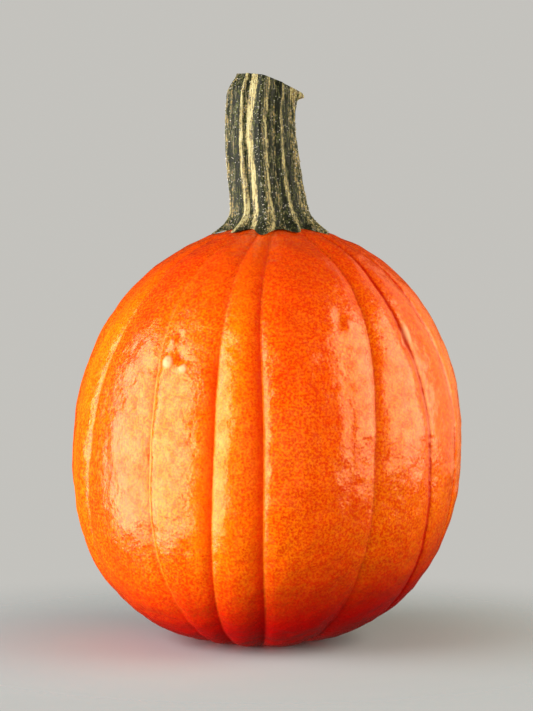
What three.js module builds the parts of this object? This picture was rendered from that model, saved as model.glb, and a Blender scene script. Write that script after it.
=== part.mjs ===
// A small round pie pumpkin, as picked: the ribbed orange fruit and the dry, ridged stem that stands on it.
// Millimetres, +Z up, -Y towards the front. The origin is the middle of the flat spot that the fruit rests on.

import * as THREE from 'three';

// Fruit, outline. The crests of the ribs lie on a superellipse turned about a slightly leaning axis.
const BELLY_RADIUS = 74.5;
const BELLY_TO_CROWN = 83.8;
const BELLY_TO_BASE = 76.7;
const CROWN_POWER = 2.08;
const BASE_POWER = 2.38;
const LEAN = 0.03;
const FLAT_SINK = 1.6;
const FLOOR_TO_BELLY = BELLY_TO_BASE - FLAT_SINK;

// Fruit, furrows. Degrees go round the stem from the front, positive to the right.
// The blossom end lies behind the lowest point, so every furrow runs on under the fruit to reach it.
const BLOSSOM_TILT = 22;
const FRONT_FURROWS = [
  { belly: -82, shoulder: 6, base: -3, valley: 0.5, crease: 0.7 },
  { belly: -64, shoulder: 3.5, base: -6, valley: 0.8, crease: 0.9 },
  { belly: -35, shoulder: -4, base: 8, valley: 0.8, crease: 0.8 },
  { belly: -15, shoulder: -2, base: 0, valley: 0.9, crease: 1.2 },
  { belly: -0.5, shoulder: -3.5, base: 2, valley: 0.9, crease: 1.4 },
  { belly: 32.5, shoulder: 4, base: -4.5, valley: 1.4, crease: 1.2 },
  { belly: 55, shoulder: -5, base: 3, valley: 0.8, crease: 0.8 },
  { belly: 75, shoulder: -6, base: -2, valley: 0.9, crease: 0.9 },
];
const BACK_FURROW_COUNT = 8;
const BACK_FURROW_JITTER = 5;
const BACK_CREASE_SPREAD = 0.6;
const FURROW_SEED = 7;
const CREASE_HALF_WIDTH = 4;
const CREASE_NARROWING = 0.6;
const CREASE_POWER = 1.5;
const CREASE_CROWN_SHARE = 0.4;
const CREASE_FULL_RADIUS = 62;
const VALLEY_POWER = 3;
const SHOULDER_AT = 0.22;
const SHOULDER_SPAN = 0.16;
const BASE_AT = 0.78;
const BASE_SPAN = 0.14;
const FURROWS_START_RADIUS = 16;
const FURROWS_FULL_RADIUS = 26;
const FURROWS_END_RADIUS = 24;
const REST_SMOOTH_RADIUS = 22;
const REST_SMOOTH_POWER = 4;

// Fruit, blossom end: a shallow dimple with a corky button in it, clear of the furrows.
const DIMPLE_RADIUS = 9;
const DIMPLE_DEPTH = 3;
const BUTTON_RADIUS = 4.5;
const BUTTON_RIM = 2;
const BUTTON_HEIGHT = 1.4;
const POLE_RADIUS = 0.01;

// Stem. Five main ridges with five lesser ones between them, flaring to a toothed foot on the crown.
// Each station of the axis is [x, y, share of the way up], and each radius is [radius, share of the way up].
const STEM_GAP = 0.3;
const FOOT_CENTRE_X = 4.8;
const STEM_AXIS = [
  [FOOT_CENTRE_X, 0, 0], [5, 0.1, 0.07], [3.4, 0.3, 0.22],
  [1, 0.8, 0.5], [0, 1.6, 0.76], [0.8, 2.6, 1],
];
const STEM_RADII = [
  [19.3, 0], [16.9, 0.05], [14.4, 0.13], [13.5, 0.28],
  [13, 0.5], [12.1, 0.78], [12.2, 0.93], [11.6, 1],
];

// The cut end falls to the right and bows down, falls a little to the back, and is dished.
const STEM_TOP_Z = 214.7;
const CUT_SLOPE = 0.25;
const CUT_BOW = 0.0104;
const CUT_BACK_SLOPE = 0.06;
const CUT_DISH = 1.6;

// Ridges and foot teeth, in shares of the radius, then the corner drawn in at the cut and the spur of the vine.
// Angles are degrees round the stem from the front, and places and spans are shares of the way up.
const RIDGE_COUNT = 5;
const FRONT_RIDGE_ANGLE = -11;
const RIDGE_TWIST = 12;
const RIDGE_HEIGHT = 0.06;
const LESSER_RIDGE_HEIGHT = 0.06;
const THREAD_HEIGHT = 0.02;
const FOOT_TOOTH_HEIGHT = 0.05;
const FOOT_TOOTH_SPAN = 0.1;
const CORNER_ANGLE = -90;
const CORNER_INSET = 3;
const CORNER_HALF_ANGLE = 55;
const CORNER_SPAN = 0.08;
const SPUR_ANGLE = 80;
const SPUR_REACH = 3.4;
const SPUR_HALF_ANGLE = 13;
const SPUR_AT = 0.985;
const SPUR_SPAN = 0.04;

// Passes in which the crown's height under the leaning stem settles, and the fineness of the faceted surfaces.
const CROWN_PASSES = 6;
const FRUIT_ROWS = 36;
const BLOSSOM_CROWDING = 1.4;
const DEGREES_PER_FACET = 3.1;
const FEWEST_FACETS_PER_RIB = 6;
const FURROW_CROWDING = 0.55;
const STEM_FACETS = 80;
const STEM_ROWS = 22;
const FOOT_RINGS = 4;
const CUT_RINGS = 3;

const radians = THREE.MathUtils.degToRad;
const { lerp, smoothstep } = THREE.MathUtils;

// A hump of height 1 at a place, falling away to nothing over a span.
const hump = (x, at, span) => Math.exp(-(((x - at) / span) ** 2));

// The value at u of the smooth curve through [value, u] or [value, value, u] stations.
function through(stations, u, which = 0) {
  const places = stations.map((station) => station[station.length - 1]);
  let i = places.findIndex((place) => place >= u);
  i = Math.max(1, i < 0 ? stations.length - 1 : i);
  const slope = (k) => {
    const before = Math.max(0, k - 1);
    const after = Math.min(stations.length - 1, k + 1);
    return (stations[after][which] - stations[before][which]) / (places[after] - places[before]);
  };
  const span = places[i] - places[i - 1];
  const x = THREE.MathUtils.clamp((u - places[i - 1]) / span, 0, 1);
  const rise = stations[i][which] - stations[i - 1][which];
  const start = slope(i - 1) * span;
  const end = slope(i) * span;
  const squared = 3 * rise - 2 * start - end;
  const cubed = start + end - 2 * rise;
  return stations[i - 1][which] + start * x + squared * x ** 2 + cubed * x ** 3;
}

// Furrows round the back follow the front's mean spacing, each moved a little by a seeded draw.
function allFurrows() {
  const last = FRONT_FURROWS[FRONT_FURROWS.length - 1].belly;
  const gap = (FRONT_FURROWS[0].belly + 360 - last) / (BACK_FURROW_COUNT + 1);
  const draw = (k) => THREE.MathUtils.seededRandom(FURROW_SEED + k) - 0.5;
  const back = [];
  for (let k = 1; k <= BACK_FURROW_COUNT; k += 1) {
    back.push({
      belly: last + k * gap + BACK_FURROW_JITTER * draw(3 * k),
      shoulder: BACK_FURROW_JITTER * draw(3 * k + 1),
      base: 0,
      valley: 1,
      crease: 1 + BACK_CREASE_SPREAD * draw(3 * k + 2),
    });
  }
  return [...FRONT_FURROWS, ...back];
}
const FURROWS = allFurrows();

// The azimuth of furrow k at share s of the way from the stem to the blossom end, counted on past a full turn.
function furrowAzimuth(k, s) {
  const furrow = FURROWS[k % FURROWS.length];
  const turns = 360 * Math.floor(k / FURROWS.length);
  const aside = furrow.shoulder * hump(s, SHOULDER_AT, SHOULDER_SPAN) + furrow.base * hump(s, BASE_AT, BASE_SPAN);
  return radians(furrow.belly + aside + turns);
}

// Where the ray from the belly's centre meets the crests: a superellipse with a fuller base than crown.
function crestPoint(azimuth, polar) {
  const tilt = radians(BLOSSOM_TILT) * (polar / Math.PI) ** 2;
  const ray = new THREE.Vector3(
    Math.sin(polar) * Math.sin(azimuth),
    -Math.sin(polar) * Math.cos(azimuth),
    Math.cos(polar),
  ).applyAxisAngle(new THREE.Vector3(1, 0, 0), tilt);
  const height = ray.z > 0 ? BELLY_TO_CROWN : BELLY_TO_BASE;
  const power = ray.z > 0 ? CROWN_POWER : BASE_POWER;
  const across = Math.hypot(ray.x, ray.y) / BELLY_RADIUS;
  const up = Math.abs(ray.z) / height;
  return { ray, reach: (across ** power + up ** power) ** (-1 / power) };
}

// How far the surface lies inside the crests, across one rib (v from 0 to 1) at ring radius `ring`.
// The creases are faint at the crown and reach their full depth further out.
function furrowDepth(k, v, ribWidth, ring, upper) {
  const halfWidth = CREASE_HALF_WIDTH * (ring / BELLY_RADIUS) ** CREASE_NARROWING;
  const out = upper ? smoothstep(ring, FURROWS_FULL_RADIUS, CREASE_FULL_RADIUS) : 1;
  const sharp = lerp(CREASE_CROWN_SHARE, 1, out);
  const depthOf = (furrow, away) =>
    furrow.valley * (1 - away) ** VALLEY_POWER +
    sharp * furrow.crease * Math.exp(-(((away * ribWidth) / halfWidth) ** CREASE_POWER));
  return depthOf(FURROWS[k % FURROWS.length], v) + depthOf(FURROWS[(k + 1) % FURROWS.length], 1 - v);
}

// A point of the skin on rib k, at v across it and s of the way down it.
function skinPoint(k, v, s) {
  const polar = Math.PI * s;
  const left = furrowAzimuth(k, s);
  const right = furrowAzimuth(k + 1, s);
  const { ray, reach } = crestPoint(lerp(left, right, v), polar);
  const ring = Math.max(reach * Math.sin(polar), POLE_RADIUS);
  const fromBlossom = reach * (Math.PI - polar);
  const fromLowest = Math.hypot(ray.x * reach, ray.y * reach, ray.z * reach + BELLY_TO_BASE);
  const upper = s < 0.5;
  const shown =
    smoothstep(upper ? ring : BELLY_RADIUS, FURROWS_START_RADIUS, FURROWS_FULL_RADIUS) *
    smoothstep(fromBlossom, BUTTON_RADIUS, FURROWS_END_RADIUS) *
    (1 - Math.exp(-((fromLowest / REST_SMOOTH_RADIUS) ** REST_SMOOTH_POWER)));
  const dimple = DIMPLE_DEPTH * hump(fromBlossom, 0, DIMPLE_RADIUS);
  const button = BUTTON_HEIGHT * (1 - smoothstep(fromBlossom, BUTTON_RADIUS - BUTTON_RIM, BUTTON_RADIUS));
  const inside = shown * furrowDepth(k, v, (right - left) * ring, ring, upper) + dimple - button;
  const point = ray.multiplyScalar(reach - inside);
  point.x += LEAN * (point.z + BELLY_TO_BASE);
  point.z = Math.max(point.z + FLOOR_TO_BELLY, 0);
  return point;
}

// Columns of facets, crowded towards the furrows: the rib that each is on and its place across that rib.
function fruitColumns() {
  const columns = [];
  for (let k = 0; k < FURROWS.length; k += 1) {
    const width = THREE.MathUtils.radToDeg(furrowAzimuth(k + 1, 0.5) - furrowAzimuth(k, 0.5));
    const count = Math.max(FEWEST_FACETS_PER_RIB, Math.round(width / DEGREES_PER_FACET));
    for (let i = 0; i < count; i += 1) {
      const even = i / count;
      columns.push({ k, v: even - (FURROW_CROWDING * Math.sin(2 * Math.PI * even)) / (2 * Math.PI) });
    }
  }
  return columns;
}

// A closed skin over rings of points, each ring going anticlockwise seen from above, from the top pole downwards.
function closedSkin(topPole, rings, bottomPole) {
  const count = rings[0].length;
  const positions = [topPole, ...rings.flat(), bottomPole].flatMap((point) => point.toArray());
  const last = positions.length / 3 - 1;
  const faces = [];
  for (let i = 0; i < count; i += 1) {
    const next = (i + 1) % count;
    faces.push(0, 1 + i, 1 + next);
    for (let row = 0; row + 1 < rings.length; row += 1) {
      const above = 1 + row * count;
      const below = above + count;
      faces.push(above + i, below + i, below + next, above + i, below + next, above + next);
    }
    faces.push(last, last - count + next, last - count + i);
  }
  const geometry = new THREE.BufferGeometry();
  geometry.setAttribute('position', new THREE.Float32BufferAttribute(positions, 3));
  geometry.setIndex(faces);
  geometry.computeVertexNormals();
  return geometry;
}

function fruitGeometry() {
  const columns = fruitColumns();
  const rings = [];
  for (let row = 1; row < FRUIT_ROWS; row += 1) {
    const s = 1 - (1 - row / FRUIT_ROWS) ** BLOSSOM_CROWDING;
    rings.push(columns.map(({ k, v }) => skinPoint(k, v, s)));
  }
  return closedSkin(skinPoint(0, 0, 0), rings, skinPoint(0, 0, 1));
}

// The height of the smooth crown above a place under the stem.
function crownHeight(x, y) {
  let up = BELLY_TO_CROWN;
  for (let pass = 0; pass < CROWN_PASSES; pass += 1) {
    const across = Math.hypot(x - LEAN * (up + BELLY_TO_BASE), y) / BELLY_RADIUS;
    up = BELLY_TO_CROWN * (1 - across ** CROWN_POWER) ** (1 / CROWN_POWER);
  }
  return up + FLOOR_TO_BELLY;
}

// The stem's radius in one direction, at share w of the way up: ridges, foot teeth, the corner that is drawn in
// at the cut, and the spur of the cut vine.
function stemRadius(azimuth, w) {
  const turned = azimuth - radians(FRONT_RIDGE_ANGLE + RIDGE_TWIST * w);
  const wave = (count) => Math.cos(count * turned);
  const ridges =
    RIDGE_HEIGHT * wave(RIDGE_COUNT) +
    LESSER_RIDGE_HEIGHT * wave(2 * RIDGE_COUNT) +
    THREAD_HEIGHT * wave(4 * RIDGE_COUNT);
  const teeth = FOOT_TOOTH_HEIGHT * wave(2 * RIDGE_COUNT) * hump(w, 0, FOOT_TOOTH_SPAN);
  const towards = (angle, halfAngle) => {
    const past = azimuth - radians(angle);
    return hump(Math.atan2(Math.sin(past), Math.cos(past)), 0, radians(halfAngle));
  };
  const corner = CORNER_INSET * towards(CORNER_ANGLE, CORNER_HALF_ANGLE) * hump(w, 1, CORNER_SPAN);
  const spur = SPUR_REACH * towards(SPUR_ANGLE, SPUR_HALF_ANGLE) * hump(w, SPUR_AT, SPUR_SPAN);
  return through(STEM_RADII, w) * (1 + ridges + teeth) - corner + spur;
}

// A point of the stem's side; `inward` shrinks the ring towards the axis, for the foot and the cut end.
function stemPoint(azimuth, w, inward = 1) {
  const radius = stemRadius(azimuth, w) * inward;
  const x = through(STEM_AXIS, w, 0) + radius * Math.sin(azimuth);
  const y = through(STEM_AXIS, w, 1) - radius * Math.cos(azimuth);
  const footRadius = stemRadius(azimuth, 0);
  const footX = FOOT_CENTRE_X + footRadius * Math.sin(azimuth);
  const footY = -footRadius * Math.cos(azimuth);
  const under = w === 0 ? crownHeight(x, y) : crownHeight(footX, footY);
  const right = x - through(STEM_AXIS, 1, 0);
  const back = y - through(STEM_AXIS, 1, 1);
  const top = STEM_TOP_Z - CUT_SLOPE * right - CUT_BOW * right ** 2 - CUT_BACK_SLOPE * back;
  return new THREE.Vector3(x, y, lerp(under + STEM_GAP, top, w));
}

function stemGeometry() {
  const azimuths = Array.from({ length: STEM_FACETS }, (_, i) => (2 * Math.PI * i) / STEM_FACETS);
  const ring = (w, inward, drop = 0) =>
    azimuths.map((azimuth) => stemPoint(azimuth, w, inward).add(new THREE.Vector3(0, 0, -drop)));
  const dish = (inward) => CUT_DISH * (1 - inward ** 2);
  const rings = [];
  for (let i = 1; i < CUT_RINGS; i += 1) {
    rings.push(ring(1, i / CUT_RINGS, dish(i / CUT_RINGS)));
  }
  for (let row = 0; row <= STEM_ROWS; row += 1) {
    rings.push(ring(1 - row / STEM_ROWS, 1));
  }
  for (let i = FOOT_RINGS - 1; i > 0; i -= 1) {
    rings.push(ring(0, i / FOOT_RINGS));
  }
  const topPole = stemPoint(0, 1, 0).add(new THREE.Vector3(0, 0, -dish(0)));
  return closedSkin(topPole, rings, stemPoint(0, 0, 0));
}

function piece(name, geometry, colour, roughness) {
  const material = new THREE.MeshStandardMaterial({ color: colour, roughness, metalness: 0 });
  const mesh = new THREE.Mesh(geometry, material);
  mesh.name = name;
  return mesh;
}

const pumpkin = new THREE.Group();
pumpkin.add(piece('fruit', fruitGeometry(), '#e8620c', 0.38));
pumpkin.add(piece('stem', stemGeometry(), '#5a5f34', 0.75));

export default pumpkin;
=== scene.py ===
# %% [markdown]
# # A small pie pumpkin
# The real thing is one ripe, ribbed fruit about 15 cm across, with the dry stem that it was cut with.
# Both grew as one plant, but they look nothing alike: waxy orange rind, and a striped, ridged, woody stem.
# The solid model under this scene already has the right sizes. Here each solid is dressed by a finer
# surface of the same form, worked out as whole arrays of points, and given its skin as a node material.

# %% Load the solid model and note its box
import math

import bpy
import numpy as np
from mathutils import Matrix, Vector


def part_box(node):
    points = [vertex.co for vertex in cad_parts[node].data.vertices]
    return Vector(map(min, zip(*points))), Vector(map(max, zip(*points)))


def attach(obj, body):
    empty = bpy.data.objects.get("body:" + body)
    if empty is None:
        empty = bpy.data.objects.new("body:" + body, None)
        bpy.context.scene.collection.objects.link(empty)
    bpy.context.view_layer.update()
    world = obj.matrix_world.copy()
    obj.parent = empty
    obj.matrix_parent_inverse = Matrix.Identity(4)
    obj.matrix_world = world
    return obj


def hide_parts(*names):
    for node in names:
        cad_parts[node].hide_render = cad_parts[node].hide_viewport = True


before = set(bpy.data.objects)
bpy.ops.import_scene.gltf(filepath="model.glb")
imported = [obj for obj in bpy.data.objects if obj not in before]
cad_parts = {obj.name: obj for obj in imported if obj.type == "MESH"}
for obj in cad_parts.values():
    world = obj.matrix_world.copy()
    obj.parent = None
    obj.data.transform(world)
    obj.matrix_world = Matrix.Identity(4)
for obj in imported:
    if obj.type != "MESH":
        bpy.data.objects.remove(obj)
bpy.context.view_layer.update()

MM = 0.001
fruit_low, fruit_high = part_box("fruit")
stem_low, stem_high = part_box("stem")
print("fruit", [round(side / MM, 1) for side in fruit_high - fruit_low], "mm")
print("stem", [round(side / MM, 1) for side in stem_high - stem_low], "mm")

# %% [markdown]
# ## Camera
# A long lens from a metre away keeps the sides of the fruit almost parallel, as in a catalogue picture.
# The camera stands a little above the middle of the pumpkin and looks down by three degrees, which just
# hides the cut end of the stem. It comes first, so that every later piece can be judged through it.

# %% Place the camera
CAMERA_DISTANCE = 1000
CAMERA_RISE = 3
CAMERA_AIM = (2.1, 0, 109)
LENS = 132.3


def aim(thing, spot):
    """Turns a camera or a light so that its -Z axis points at a spot."""
    thing.rotation_euler = (Vector(spot) - thing.location).to_track_quat("-Z", "Y").to_euler()


camera = bpy.data.objects.new("camera", bpy.data.cameras.new("camera"))
bpy.context.collection.objects.link(camera)
camera.data.lens = LENS
rise = math.radians(CAMERA_RISE)
eye = Vector(CAMERA_AIM) + CAMERA_DISTANCE * Vector((0, -math.cos(rise), math.sin(rise)))
camera.location = eye * MM
aim(camera, Vector(CAMERA_AIM) * MM)
bpy.context.scene.camera = camera
print("camera", [round(value / MM) for value in camera.location], "mm, lens", LENS)

# %% [markdown]
# ## Light
# Waxy rind shows its form by what it mirrors. Two tall soft boxes, one on each side, put a long soft
# highlight down the ribs on the left and another down the ribs on the right, and leave the ribs in the
# middle in their own deep colour. A weaker box behind on the right keeps that edge from going dark, and a
# low lamp in front, which the gloss doesn't mirror, lights the middle. The camera sees a pale surrounding,
# and everything else gets a dim one. The picture is shown with the plain transform, because a film-like one
# would wash the orange out.

# %% Soft boxes, a front fill and a pale surrounding
LEFT_BOX = {"azimuth": -66, "distance": 520, "width": 650, "height": 720, "middle": 130, "power": 10}
RIGHT_BOX = {"azimuth": 78, "distance": 560, "width": 600, "height": 660, "middle": 320, "power": 5.8}
RIM_BOX = {"azimuth": 128, "distance": 560, "width": 460, "height": 660, "middle": 320, "power": 0.6}
FRONT_FILL = {"azimuth": 0, "distance": 900, "width": 700, "height": 500, "middle": 80, "power": 2.4}
LEFT_TINT = (1, 0.93, 0.90)
RIGHT_TINT = (1, 0.90, 0.76)
RIM_TINT = (1, 0.86, 0.55)
FILL_TINT = (1, 0.94, 0.84)
SEEN_SURROUND = (0.55, 0.54, 0.51, 1)
DIM_SURROUND = (0.040, 0.036, 0.030, 1)


def soft_box(name, tint, azimuth, distance, width, height, middle, power):
    """An upright rectangular lamp: azimuth in degrees from the front, positive to the right, sizes in mm."""
    turn = math.radians(azimuth)
    lamp = bpy.data.lights.new(name, "AREA")
    lamp.shape = "RECTANGLE"
    lamp.size = width * MM
    lamp.size_y = height * MM
    lamp.energy = power
    lamp.color = tint
    box = bpy.data.objects.new(name, lamp)
    box.location = Vector((math.sin(turn) * distance, -math.cos(turn) * distance, middle)) * MM
    aim(box, (0, 0, middle * MM))
    bpy.context.collection.objects.link(box)
    return box


soft_box("left_box", LEFT_TINT, **LEFT_BOX)
soft_box("right_box", RIGHT_TINT, **RIGHT_BOX)
soft_box("rim_box", RIM_TINT, **RIM_BOX)
soft_box("front_fill", FILL_TINT, **FRONT_FILL).visible_glossy = False
bpy.context.scene.view_settings.view_transform = "Standard"
world = bpy.data.worlds.new("surround")
world.use_nodes = True
surround = world.node_tree
dim = surround.nodes["Background"]
dim.inputs["Color"].default_value = DIM_SURROUND
seen = surround.nodes.new("ShaderNodeBackground")
seen.inputs["Color"].default_value = SEEN_SURROUND
choice = surround.nodes.new("ShaderNodeMixShader")
ray_kind = surround.nodes.new("ShaderNodeLightPath")
surround.links.new(ray_kind.outputs["Is Camera Ray"], choice.inputs[0])
surround.links.new(dim.outputs[0], choice.inputs[1])
surround.links.new(seen.outputs[0], choice.inputs[2])
surround.links.new(choice.outputs[0], surround.nodes["World Output"].inputs["Surface"])
bpy.context.scene.world = world

# %% [markdown]
# ## Helpers for node materials
# Each finish below is a tree of shader nodes. A few small helpers keep them readable: one adds a node with
# its settings, one starts a material, and one makes a node group with named inputs and outputs, so that an
# effect that both the rind and the stem use is built once and placed in each with its own values.

# %% Helpers that add nodes, materials and groups


def add(tree, kind, values=None, **settings):
    """Adds a node, sets its properties, and sets or links its inputs by name or number."""
    node = tree.nodes.new(kind)
    for key, value in settings.items():
        setattr(node, key, value)
    for key, value in (values or {}).items():
        if isinstance(value, bpy.types.NodeSocket):
            tree.links.new(value, node.inputs[key])
        else:
            node.inputs[key].default_value = value
    return node


def new_material(name):
    """A node material. Returns it with its tree, its Principled shader and the place in metres."""
    material = bpy.data.materials.new(name)
    material.use_nodes = True
    tree = material.node_tree
    return material, tree, tree.nodes["Principled BSDF"], add(tree, "ShaderNodeTexCoord").outputs["Object"]


def stored_number(tree, name):
    """A number that the mesh stores for each of its points."""
    return add(tree, "ShaderNodeAttribute", attribute_name=name).outputs["Fac"]


def new_group(name, inputs, output):
    """A shader node group with the given sockets. Returns the tree, its inputs and the input of its end."""
    tree = bpy.data.node_groups.new(name, "ShaderNodeTree")
    for label, value in inputs.items():
        kind = "NodeSocketVector" if value is None else "NodeSocketFloat"
        socket = tree.interface.new_socket(label, in_out="INPUT", socket_type=kind)
        if value is not None:
            socket.default_value = value
    tree.interface.new_socket(output, in_out="OUTPUT", socket_type="NodeSocketFloat")
    start = tree.nodes.new("NodeGroupInput")
    end = tree.nodes.new("NodeGroupOutput")
    return tree, start.outputs, end.inputs[output]


def use(tree, group, values):
    """Places a node group in a material's tree. Returns the one number that it puts out."""
    return add(tree, "ShaderNodeGroup", values, node_tree=group).outputs[0]


def blend_colours(tree, share, first, second):
    """The colour that goes from first to second as share goes from 0 to 1."""
    return add(tree, "ShaderNodeMix", {0: share, 6: first, 7: second}, data_type="RGBA").outputs[2]


def span(tree, value, low, high, out_low=0.0, out_high=1.0):
    """Maps low..high to out_low..out_high smoothly, and holds the ends."""
    values = {0: value, 1: low, 2: high, 3: out_low, 4: out_high}
    return add(tree, "ShaderNodeMapRange", values, interpolation_type="SMOOTHSTEP").outputs[0]


def calculate(tree, operation, first, second=0.0):
    """One step of arithmetic on two numbers or sockets."""
    return add(tree, "ShaderNodeMath", {0: first, 1: second}, operation=operation).outputs[0]


print("helpers ready")

# %% [markdown]
# ## Effects that both materials use
# Plant skin is never one colour. Three effects cover most of it: broad cloudy mottling, fine speckle made of
# separate flecks, and pores that dent the surface. Each is a group that reads a place in metres and takes
# its size in millimetres, so the same group works on the fruit and on the much finer stem.

# %% Mottling, speckle and pores as node groups
PER_METRE = 1000
NOISE_DETAIL = 2.0
NOISE_ROUGHNESS = 0.55
FLECK_CORE = 0.12
FLECK_EDGE = 0.5


def cloudy(tree, place, per_metre, contrast):
    """Cloudy patches from 0 to 1: smooth noise in three sizes, stretched to the given contrast."""
    values = {"Vector": place, "Scale": per_metre, "Detail": NOISE_DETAIL, "Roughness": NOISE_ROUGHNESS}
    noise = add(tree, "ShaderNodeTexNoise", values)
    centred = calculate(tree, "SUBTRACT", noise.outputs[0], 0.5)
    stretched = calculate(tree, "MULTIPLY", centred, contrast)
    return add(tree, "ShaderNodeMath", {0: stretched, 1: 0.5}, operation="ADD", use_clamp=True).outputs[0]


def mottle_group():
    """Cloudy patches from 0 to 1, of the given size and contrast."""
    tree, start, end = new_group("Mottle", {"Place": None, "Size": 10.0, "Contrast": 1.0}, "Mask")
    per_metre = calculate(tree, "DIVIDE", PER_METRE, start["Size"])
    tree.links.new(cloudy(tree, start["Place"], per_metre, start["Contrast"]), end)
    return tree


def speckle_group():
    """Flecks from 0 to 1: cells of the given size, each with its own draw, shown where it is under Share."""
    tree, start, end = new_group("Speckle", {"Place": None, "Size": 1.0, "Share": 0.4}, "Mask")
    per_metre = calculate(tree, "DIVIDE", PER_METRE, start["Size"])
    cells = add(tree, "ShaderNodeTexVoronoi", {"Vector": start["Place"], "Scale": per_metre})
    draw_of_cell = add(tree, "ShaderNodeSeparateColor", {0: cells.outputs["Color"]}).outputs[0]
    chosen = calculate(tree, "LESS_THAN", draw_of_cell, start["Share"])
    near = span(tree, cells.outputs["Distance"], FLECK_CORE, FLECK_EDGE, 1.0, 0.0)
    tree.links.new(calculate(tree, "MULTIPLY", chosen, near), end)
    return tree


def pore_group():
    """A height from 0 to 1: rounded pits of the given size over finer grain."""
    tree, start, end = new_group("Pores", {"Place": None, "Size": 1.5}, "Height")
    per_metre = calculate(tree, "DIVIDE", PER_METRE, start["Size"])
    values = {"Vector": start["Place"], "Scale": per_metre}
    pits = add(tree, "ShaderNodeTexVoronoi", values, feature="SMOOTH_F1")
    grain = add(tree, "ShaderNodeTexNoise", {**values, "Detail": NOISE_DETAIL})
    both = calculate(tree, "ADD", pits.outputs["Distance"], grain.outputs[0])
    tree.links.new(calculate(tree, "MULTIPLY", both, 0.5), end)
    return tree


MOTTLE = mottle_group()
SPECKLE = speckle_group()
PORES = pore_group()
print("groups", [group.name for group in bpy.data.node_groups])

# %% [markdown]
# ## Helpers for surfaces
# Both pieces are closed skins: rings of points from a top pole to a bottom pole. A ring is a row of one
# big array, so a shape is a formula of two parameters and no point is ever handled on its own. The noise
# here is the plain kind, random values on a lattice blended smoothly, and every draw has its own seed, so
# that the result is the same each time.

# %% Noise, smooth curves and closed skins
NOISE_VALUES = 4096
NOISE_STRIDES = (73856093, 19349663, 83492791)
SEEDS = {
    "looks": 8, "dents": 11, "wrinkles": 21, "streaks": 22, "bands": 23, "collar": 31, "fibres": 41,
    "knobs": 42, "wander": 51, "back stripes": 52, "cut end": 61, "bristles": 71,
}


def lattice_noise(points, cell, seed):
    """Smooth noise from -1 to 1: draws at the corners of cells `cell` wide, blended across each cell."""
    draws = np.random.default_rng(seed).uniform(-1, 1, NOISE_VALUES)
    place = points / cell
    corner = np.floor(place).astype(np.int64)
    part = place - corner
    part = part * part * (3 - 2 * part)
    total = np.zeros(points.shape[:-1])
    for step in np.ndindex(2, 2, 2):
        key = (corner + step) * NOISE_STRIDES
        mixed = key[..., 0] ^ key[..., 1] ^ key[..., 2]
        weight = np.prod(np.where(step, part, 1 - part), axis=-1)
        total += weight * draws[mixed % NOISE_VALUES]
    return total


def hump(x, at, width):
    """A hump of height 1 at a place, falling away to nothing over a width."""
    return np.exp(-(((x - at) / width) ** 2))


def smoothstep(x, low, high):
    """0 below low, 1 above high, and a smooth rise between."""
    share = np.clip((x - low) / (high - low), 0, 1)
    return share * share * (3 - 2 * share)


def wrapped(angle):
    """The same angle counted from -pi to pi."""
    return np.arctan2(np.sin(angle), np.cos(angle))


def through(stations, share, which=0):
    """The smooth cubic through [value, share] or [value, value, share] stations."""
    table = np.array(stations, dtype=float)
    places = table[:, -1]
    values = table[:, which]
    before = np.maximum(np.arange(len(table)) - 1, 0)
    after = np.minimum(np.arange(len(table)) + 1, len(table) - 1)
    slopes = (values[after] - values[before]) / (places[after] - places[before])
    right = np.clip(np.searchsorted(places, share), 1, len(table) - 1)
    left = right - 1
    gap = places[right] - places[left]
    x = np.clip((share - places[left]) / gap, 0, 1)
    rise_here = values[right] - values[left]
    start = slopes[left] * gap
    end = slopes[right] * gap
    curve = (3 * rise_here - 2 * start - end) * x**2 + (start + end - 2 * rise_here) * x**3
    return values[left] + start * x + curve


def new_piece(name, points, faces):
    """A mesh object from points in metres and their faces."""
    mesh = bpy.data.meshes.new(name)
    mesh.from_pydata(points.tolist(), [], faces)
    made = bpy.data.objects.new(name, mesh)
    bpy.context.collection.objects.link(made)
    return made


def ring_faces(rows, columns):
    """Quads between rings of points and a fan from point 0 to the first ring. Returns the numbering too."""
    index = 1 + np.arange(rows * columns).reshape(rows, columns)
    beside = np.roll(index, -1, axis=1)
    quads = np.stack([index[:-1], index[1:], beside[1:], beside[:-1]], axis=-1).reshape(-1, 4)
    fan = np.stack([np.zeros(columns, int), index[0], beside[0]], axis=-1)
    return quads.tolist() + fan.tolist(), index, beside


def closed_skin(name, top, rings, bottom):
    """A smooth closed mesh in metres over rings[row, column] of points in mm, top ring first."""
    points = np.vstack([top, rings.reshape(-1, 3), bottom]) * MM
    faces, index, beside = ring_faces(*rings.shape[:2])
    last = np.full(rings.shape[1], len(points) - 1)
    base = np.stack([last, beside[-1], index[-1]], axis=-1)
    made = new_piece(name, points, faces + base.tolist())
    made.data.shade_smooth()
    return made


def store_numbers(thing, name, top, rings, bottom):
    """Stores one number for each point of a closed skin, for its material to read."""
    store = thing.data.attributes.new(name, "FLOAT", "POINT")
    store.data.foreach_set("value", np.concatenate([[top], np.ravel(rings), [bottom]]).astype(np.float32))


print("surface helpers ready")
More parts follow.
